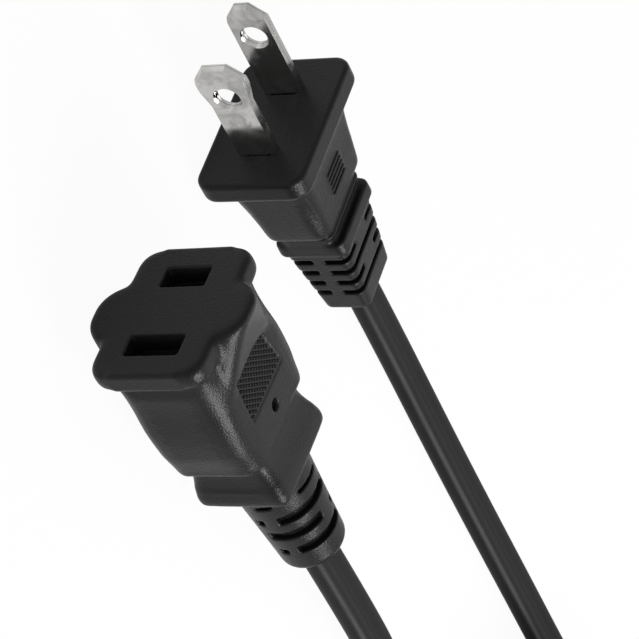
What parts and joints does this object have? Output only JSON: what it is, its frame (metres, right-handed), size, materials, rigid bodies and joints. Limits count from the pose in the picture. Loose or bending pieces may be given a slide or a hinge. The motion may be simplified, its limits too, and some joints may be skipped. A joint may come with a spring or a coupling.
{
  "type": "type a plug",
  "caption": "Flat-cord extension lead: polarised two-blade plug, coiled twin cord and its in-line connector",
  "frame": {"origin": "on the floor under the middle of the plug's own bounding box, its blades included", "axes": "blades towards -Y and low at the cord end, cord leaves towards +Y, +X from the line to the neutral blade"},
  "size_m": [0.1184, 0.2074, 0.0262],
  "materials": {
    "moulding": "soft black moulding, fine spark-eroded texture",
    "cord_jacket": "soft black cord, satin",
    "blade_plate": "bright nickel plate",
    "inner_block": "hard inner moulding",
    "contact_brass": "sheet brass",
    "copper": "bare stranded copper"
  },
  "bodies": {
    "root": {"plug_body": "moulding", "wide_blade": "blade_plate", "narrow_blade": "blade_plate", "blade_bridge": "inner_block", "plug_neutral_lead": "cord_jacket", "plug_line_lead": "cord_jacket", "plug_neutral_strands": "copper", "plug_line_strands": "copper", "cord_plug_run": "cord_jacket", "cord_coil": "cord_jacket", "cord_connector_run": "cord_jacket", "connector_body": "moulding", "contact_carrier": "inner_block", "neutral_contact": "contact_brass", "line_contact": "contact_brass", "connector_neutral_lead": "cord_jacket", "connector_line_lead": "cord_jacket", "connector_neutral_strands": "copper", "connector_line_strands": "copper"}
  },
  "joints": []
}
